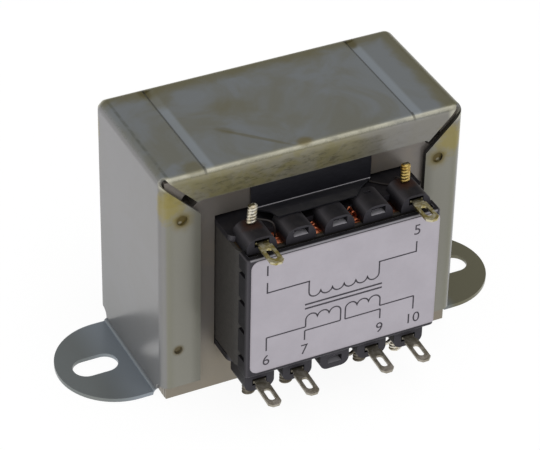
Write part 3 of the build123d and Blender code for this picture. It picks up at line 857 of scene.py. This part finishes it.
def risenStrands():
    # turns that spring up between the terminal blocks: z = low + rise exp(-((x - notch) / width)^2)
    chance = np.random.default_rng(strand["seed"])
    shells = []
    x = np.linspace(-strand["half"], strand["half"], 117)
    for number in range(strand["count"]):
        z = np.full(x.shape, strand["low"])
        y = strand["front"] - number * strand["pitch"] + strand["waver"] * np.sin(x * 0.9 + number)
        for notch, high in zip(strand["notches"], strand["rises"]):
            rise = high * chance.uniform(0.15, 1.0)
            middle = notch + chance.uniform(-0.2, 0.2)
            bump = np.exp(-((x - middle) / strand["width"]) ** 2)
            z = z + rise * bump
            y = y + chance.uniform(-0.35, 0.35) * bump
        shells.append(tube(np.stack([x, y, z], 1), strand["radius"], 8))
    return shells


windCoil("primary_winding", "tube", "outer", "upper", "thin", 3, risenStrands())
windCoil("secondary_winding_inner", "tube", "middle", "lower", "thick", 4)
windCoil("secondary_winding_outer", "over", "outer", "lower", "thick", 5)
report("windings wound")


# Wrap and flap

wrap = {"half": (18.17, 23.5), "corner": 2.5, "thickness": 0.66, "low": 10.92, "high": 36.18, "bow": 0.05}


def pressedWrap():
    # one sheet bent round the coil, bowed in its height: offset = thickness - bow + bow sin(pi share)
    path, outward = roundedPath(*wrap["half"], wrap["corner"], 10)
    share = np.linspace(0, 1, 13)
    bow = -wrap["bow"] + wrap["bow"] * np.sin(math.pi * share)
    outer = np.stack([wrap["thickness"] + bow, wrap["low"] + share * (wrap["high"] - wrap["low"])], 1)
    inner = np.stack([np.zeros(2), [wrap["high"], wrap["low"]]], 1)
    mesh = buildMesh("coilWrap", *bandAround(path, outward, np.concatenate([outer, inner])[::-1]))
    addPiece("coilWrap", mesh, "pressed_paper", ["coil_wrap"])


flap = {
    "sheet": 0.25, "back": -13.5, "top": 44.5, "lip": 42.9, "lean": 0.35, "fold": 37.45, "rest": -18.3,
    "lap": -20.3, "crown": 39.4, "left": 12.2, "right": 11.4, "tipLeft": 10.1, "tipRight": 5.2, "wave": 0.06,
}


def flapLine():
    # the flap's middle line through its creases, divided evenly and softened once
    half = flap["sheet"] / 2
    behind, level = flap["back"] - half, flap["crown"] + half
    line = np.array([(0, behind, flap["top"]), (0, behind, flap["lip"]),
                     (0, behind - flap["lean"], flap["fold"] + flap["sheet"] * 0.6),
                     (0, flap["rest"], level), (0, flap["lap"], level)])
    share = np.linspace(0, 1, 13)[:-1, None]
    runs = [here + (there - here) * share for here, there in zip(line[:-1], line[1:])]
    return softened(np.concatenate(runs + [line[-1:]]), 1)


def creasedFlap():
    # a strip along its line, narrower from the back edge to the tip: each face is the line plus half the
    # sheet along the normal, and lifts by wave sin(7 across)
    line = flapLine()
    start = flap["back"] - flap["sheet"]
    out = np.clip((start - line[:, 1]) / (start - flap["lap"]), 0, 1)
    left = -flap["left"] + (flap["left"] - flap["tipLeft"]) * out
    right = flap["right"] + (flap["tipRight"] - flap["right"]) * out
    across = np.linspace(0, 1, 25)
    x = left[:, None] + (right - left)[:, None] * across[None]
    lift = flap["wave"] * np.sin(across * 7.0 + 0.6)[None] * out[:, None]
    normal = np.gradient(line, axis=0)[:, [0, 2, 1]] * (0, 1, -1)
    normal /= np.linalg.norm(normal, axis=1)[:, None]
    middle = np.stack([x, np.broadcast_to(line[:, 1:2], x.shape), line[:, 2:3] + np.abs(lift)], 2)
    offset = normal[:, None] * flap["sheet"] / 2 * 0.96
    index = np.arange(x.size).reshape(x.shape)
    rim = np.concatenate([index[0], index[1:, -1], index[-1, -2::-1], index[-2:0:-1, 0]])[::-1].tolist()
    shell = closedPlate((middle + offset).reshape(-1, 3), (middle - offset).reshape(-1, 3),
                        gridQuads(*x.shape)[:, ::-1].tolist(), [rim])
    mesh = buildMesh("insulationFlap", *shell)
    addPiece("insulationFlap", mesh, "black_film", ["insulation_flap"], 50)


pressedWrap()
creasedFlap()
report("wrap and flap made")


# Tags and wire ends

ends = {
    "pitch": 7.5, "postY": -19.8, "coilY": -21.435, "topFace": 39.4, "lowFace": 5.8, "topPost": 4.0,
    "lowPost": 4.1, "bareTip": 0.08, "solder": 0.14, "clear": 0.1, "turns": 6, "halfPost": (0.6, 0.25),
    "thin": 0.35, "thick": 0.7, "roomTop": 36.17, "roomLow": 10.93, "wallExit": (10.6, -14.75, 37.6),
    "channelY": -17.95,
    "lean": {"primary_lead_left": 0.3},
    "finish": {"primary_lead_left": "tinned_wire", "primary_lead_right": "fluxed_wire",
               "secondary_lead_b2": "tinned_wire"},
}


def wrappedTurns(x, low, high, wire, lean):
    # helical ribs, closed at both ends: the reach past the post is solder + wire |cos(pi (turn - a / 2 pi))|
    sides, rows = 24, ends["turns"] * 9
    angle = np.linspace(0, 2 * math.pi, sides, endpoint=False)
    share = np.linspace(0, 1, rows)
    z = low + (high - low) * share
    rib = np.abs(np.cos(math.pi * (share[:, None] * ends["turns"] - angle[None] / (2 * math.pi)))) ** 0.7
    taper = np.clip(np.minimum(share, 1 - share) * 16, 0.25, 1)[:, None]
    reach = (ends["solder"] + wire * (0.62 + 0.38 * rib)) * taper
    halfX, halfY = ends["halfPost"]
    pointsX = x + lean * share[:, None] + (halfX * 0.72 + reach) * np.cos(angle)
    pointsY = ends["postY"] + (halfY + reach) * np.sin(angle)
    points = np.stack([pointsX, pointsY, np.broadcast_to(z[:, None], rib.shape)], 2)
    return points.reshape(-1, 3), cappedTube(rows, sides)


def leadRoutes():
    # each wire end: its post's x, the span of its turns, its thickness, and its points from notch to post
    first, notch, clear = 2 * ends["pitch"], ends["pitch"] / 2, ends["clear"]
    coilY, postY, channelY = ends["coilY"], ends["postY"], ends["channelY"]
    over = ends["topFace"] + clear + ends["thin"]
    under = ends["lowFace"] - clear - ends["thick"]
    topSpan = (ends["topFace"] + clear, ends["topFace"] + ends["topPost"] - ends["bareTip"])
    lowSpan = (ends["lowFace"] - ends["lowPost"] + ends["bareTip"], ends["lowFace"] - clear)
    leads = {
        "primary_lead_left": (-first, topSpan, ends["thin"], [
            (-first + notch, coilY, ends["roomTop"]), (-first + notch, coilY, over),
            (-first + 0.7, postY, over + 0.3)]),
        "primary_lead_right": (first, topSpan, ends["thin"], [
            ends["wallExit"], (first - 1.2, channelY, ends["wallExit"][2]), (first - 1.0, channelY, over),
            (first - 0.7, postY, over + 0.3)]),
    }
    for node, tagX, side in (("a1", -first, 1), ("a2", -first + ends["pitch"], 1),
                             ("b1", first - ends["pitch"], -1), ("b2", first, -1)):
        leads["secondary_lead_" + node] = (tagX, lowSpan, ends["thick"], [
            (tagX + side * notch, coilY, ends["roomLow"]), (tagX + side * notch, coilY, under + 0.2),
            (tagX + side * 2.2, coilY + 0.6, under - 0.35), (tagX + side * 0.6, postY - 0.1, under + 0.05)])
    return leads


def dressLeads():
    # an upper wire keeps its enamel as far as the post, and a lower one is tinned all along
    for node, (tagX, span, wire, route) in leadRoutes().items():
        name = camelName(node)
        shells = [wrappedTurns(tagX, *span, wire, ends["lean"].get(node, 0.0))]
        run = tube(softened(route), wire / 2)
        if node.startswith("primary"):
            addPiece(name + "Run", buildMesh(name + "Run", *run), "dark_enamel", (), 60)
        else:
            shells.append(run)
        # the other lower wire ends take the dull solder darkened as painted shade
        finish = ends["finish"].get(node, "dull_solder")
        addPiece(name, buildMesh(name, *merged(shells)), finish, [node], 60)


def dressTags():
    for node in ("primary_tag_left", "primary_tag_right", "secondary_tag_a1", "secondary_tag_a2",
                 "secondary_tag_b1", "secondary_tag_b2"):
        finish = "upper_tags" if node.startswith("primary") else "lower_tags"
        copyOfNode(node, camelName(node), finish, brokenEdge["tags"])


dressLeads()
dressTags()
report("tags and wire ends made")


# Tapes and label

for node, finish in (("label", "label_paper"), ("primary_tape", "winding_tape"),
                     ("secondary_tape", "winding_tape"), ("secondary_layer_tape", "winding_tape")):
    nodes[node].data.materials.clear()
    nodes[node].data.materials.append(finishes[finish])

printing = {
    "face": -26.6, "proud": 0.012, "size": 3.1, "line": 0.28, "coreLine": 1.3, "coilRadius": 1.15,
    "coreGap": 0.9, "coreHalf": 7.6, "upperCoil": 26.6, "lowerCoil": 20.6, "outLine": 2.4, "upperStop": 4.6,
    "lowerStop": 16.2, "left": -15.0, "right": 14.2, "innerLeft": -7.5, "innerRight": 7.5,
    "upperRow": 32.7, "lowerRow": 13.1,
}


def printedFigures():
    # plain position numbers beside the tags, as flat raised ink
    places = {"1": ("left", "upperRow"), "5": ("right", "upperRow"), "6": ("left", "lowerRow"),
              "7": ("innerLeft", "lowerRow"), "9": ("innerRight", "lowerRow"), "10": ("right", "lowerRow")}
    for figure, (column, row) in places.items():
        curve = bpy.data.curves.new("figure" + figure, "FONT")
        curve.body = figure
        curve.size = printing["size"] * mm
        curve.align_x = "CENTER"
        curve.extrude = printing["proud"] / 2 * mm
        writing = linkObject("figureCurve" + figure, curve)
        bpy.context.view_layer.update()
        mesh = bpy.data.meshes.new_from_object(writing.evaluated_get(bpy.context.evaluated_depsgraph_get()))
        bpy.data.objects.remove(writing)
        middle = (printing[column] * mm, (printing["face"] - printing["proud"] / 2) * mm, printing[row] * mm)
        mesh.transform(Matrix.Translation(middle) @ Matrix.Rotation(math.pi / 2, 4, "X"))
        mesh.name = "figure" + figure
        addPiece("figure" + figure, mesh, "ink")


def flatLine(points, width=printing["line"]):
    # a ribbon of ink on the label: each point is moved to both sides along the line's own normal
    points = np.asarray(points, float)
    ahead = np.gradient(points, axis=0)
    ahead /= np.linalg.norm(ahead, axis=1)[:, None]
    side = np.stack([-ahead[:, 1], ahead[:, 0]], 1) * width / 2
    back, front = printing["face"], printing["face"] - printing["proud"]
    rows = []
    for depth, flank in ((front, side), (front, -side), (back, -side), (back, side)):
        flat = points + flank
        rows.append(np.stack([flat[:, 0], np.full(len(flat), depth), flat[:, 1]], 1))
    return np.stack(rows, 1).reshape(-1, 3), [face[::-1] for face in cappedTube(len(points), 4)]


def bumpRow(startX, z, count, way):
    # a winding's sign: a row of half circles, x = start + r (2 k + 1 - cos a), z = level + way r sin a
    radius = printing["coilRadius"]
    angle = np.linspace(0, math.pi, 13)[:-1]
    x = (startX + radius * (2 * np.arange(count)[:, None] + 1 - np.cos(angle)[None])).ravel()
    up = z + way * radius * np.abs(np.sin(np.tile(angle, count)))
    return np.append(np.stack([x, up], 1), [[startX + 2 * radius * count, z]], 0)


def upperCoilSign():
    # six half circles, and a stepped line from each end to its figure
    half, width, top = 6 * printing["coilRadius"], printing["line"], printing["upperCoil"]
    out, stop = top + printing["outLine"], top + printing["upperStop"]
    shells = [flatLine(bumpRow(-half, top, 6, -1))]
    for side, x in ((-1, printing["left"]), (1, printing["right"])):
        shells.append(flatLine([(side * half, top), (side * half, out)]))
        shells.append(flatLine([(side * (half + width / 2) - side * width, out), (x, out)]))
        shells.append(flatLine([(x, out - width / 2), (x, stop)]))
    return shells


def lowerCoilSign(coilEnds):
    # three half circles, and a stepped line from each end to its figure; an end is its place in radii,
    # its figure's column and how far its line drops
    low, radius = printing["lowerCoil"], printing["coilRadius"]
    shells = [flatLine(bumpRow(coilEnds[0][0] * radius, low, 3, 1))]
    for start, column, drop in coilEnds:
        start, x, level = start * radius, printing[column], low - drop
        for line in ([(start, low), (start, level)], [(start, level), (x, level)],
                     [(x, level), (x, printing["lowerStop"])]):
            shells.append(flatLine(line))
    return shells


def printedDiagram():
    # the usual sign for one winding over two, with the core's two lines between
    shells = upperCoilSign()
    for gap in (-1, 1):
        level = (printing["upperCoil"] + printing["lowerCoil"]) / 2 + gap * printing["coreGap"] / 2
        line = [(-printing["coreHalf"], level), (printing["coreHalf"], level)]
        shells.append(flatLine(line, printing["line"] * printing["coreLine"]))
    shells += lowerCoilSign([(-6.4, "left", 1.5), (-0.4, "innerLeft", 2.3)])
    shells += lowerCoilSign([(0.4, "innerRight", 2.3), (6.4, "right", 1.5)])
    addPiece("windingDiagram", buildMesh("windingDiagram", *merged(shells)), "ink")


printedFigures()
printedDiagram()
report("label printed")


# Floor, light and camera

# these are in metres, as the lamps' and the camera's places are
studio = {"floorRadius": 3.5, "wall": 0.45, "cove": 0.25, "pale": 0.86, "white": 1.08, "glow": 0.86,
          "bounce": 0.7, "horizon": 0.36, "above": 0.5}


def studioFloor():
    # a disc that turns up in a quarter circle into a low wall, as a profile (r, z) turned about the middle
    turn = np.linspace(0, math.pi / 2, 9)
    cove, edge = studio["cove"], studio["floorRadius"]
    radius = np.concatenate([[0.02, 0.3, 1.2], edge - cove + cove * np.sin(turn), [edge]])
    height = np.concatenate([[0, 0, 0], cove - cove * np.cos(turn), [studio["wall"]]])
    sides = 96
    around = np.linspace(0, 2 * math.pi, sides, endpoint=False)
    points = np.stack([radius[:, None] * np.cos(around), radius[:, None] * np.sin(around),
                       np.broadcast_to(height[:, None], (len(radius), sides))], 2).reshape(-1, 3) / mm
    faces = gridQuads(len(radius), sides, False, True)[:, ::-1].tolist() + [list(range(sides))]
    mesh = buildMesh("studioFloor", points, faces)
    mesh.materials.append(paleFloor())
    linkObject("studioFloor", mesh)


def paleFloor():
    # matt for the light that it gives back, and partly glowing where it is seen, so that it shows white
    material = bpy.data.materials.new("paleFloor")
    material.use_nodes = True
    tree = material.node_tree
    tree.nodes.remove(tree.nodes["Principled BSDF"])
    matte = addNode("BsdfDiffuse", {"Color": (studio["pale"],) * 3 + (1,)}, tree)
    glow = addNode("Emission", {"Color": (1, 1, 1, 1), "Strength": studio["white"]}, tree)
    path = addNode("LightPath", {}, tree).outputs
    mirrored = calc("MAXIMUM", path["Is Glossy Ray"], path["Is Transmission Ray"])
    seen = calc("MAXIMUM", path["Is Camera Ray"], mirrored)
    share = spread(seen, 0.0, 1.0, studio["bounce"], studio["glow"])
    mix = addNode("MixShader", {0: share, 1: matte.outputs[0], 2: glow.outputs[0]})
    feed(mix.outputs[0], tree.nodes["Material Output"].inputs["Surface"])
    return material


def skyLight():
    # a dim even room: darker towards the horizon, lighter overhead
    world = bpy.data.worlds.new("room")
    bpy.context.scene.world = world
    world.use_nodes = True
    up = axes(coordinate(world.node_tree, "Generated"))["Z"]
    level = spread(up, 0.0, 1.0, studio["horizon"], studio["above"])
    feed(level, world.node_tree.nodes["Background"].inputs["Color"])


# place, size, power in watts and tint
lamps = {
    "overhead": ((0.16, -0.12, 0.72), (0.62, 0.42), 0.94, (1.0, 0.98, 0.96)),
    "leftFill": ((-0.7, -0.35, 0.4), (0.5, 0.5), 0.9, (0.97, 0.98, 1.0)),
    "frontFill": ((0.25, -0.9, 0.35), (0.6, 0.4), 0.82, (1.0, 0.98, 1.0)),
}


def hangLamps():
    aim = Vector((0, 0, 0.025))
    for name, (place, size, power, tint) in lamps.items():
        light = bpy.data.lights.new(name, "AREA")
        light.shape = "RECTANGLE"
        light.size, light.size_y = size
        light.energy = power
        light.color = tint
        holder = linkObject(name, light)
        holder.location = place
        holder.rotation_euler = (aim - Vector(place)).to_track_quat("-Z", "Y").to_euler()


photoCamera = {"place": (-0.17563, -0.348076, 0.304754), "azimuth": -26.6278, "elevation": 36.2029,
               "roll": -1.2431, "lens": 175.052, "shift": (-0.002721, 0.016214), "clip": (0.02, 20)}


def setCamera():
    # the view direction from its two angles, then the roll about it
    azimuth, elevation, roll = (math.radians(photoCamera[key]) for key in ("azimuth", "elevation", "roll"))
    level = math.cos(elevation)
    back = Vector((math.sin(azimuth) * level, -math.cos(azimuth) * level, math.sin(elevation)))
    right = (-back).cross(Vector((0, 0, 1))).normalized()
    down = (-back).cross(right)
    across = right * math.cos(roll) + down * math.sin(roll)
    below = down * math.cos(roll) - right * math.sin(roll)
    data = bpy.data.cameras.new("photoCamera")
    data.lens = photoCamera["lens"]
    data.shift_x, data.shift_y = photoCamera["shift"]
    data.clip_start, data.clip_end = photoCamera["clip"]
    camera = linkObject("photoCamera", data)
    turned = Matrix((across, -below, back)).transposed().to_4x4()
    camera.matrix_world = Matrix.Translation(photoCamera["place"]) @ turned
    bpy.context.scene.camera = camera


studioFloor()
skyLight()
hangLamps()
setCamera()
bpy.context.scene.view_settings.view_transform = "Standard"
report("studio set")
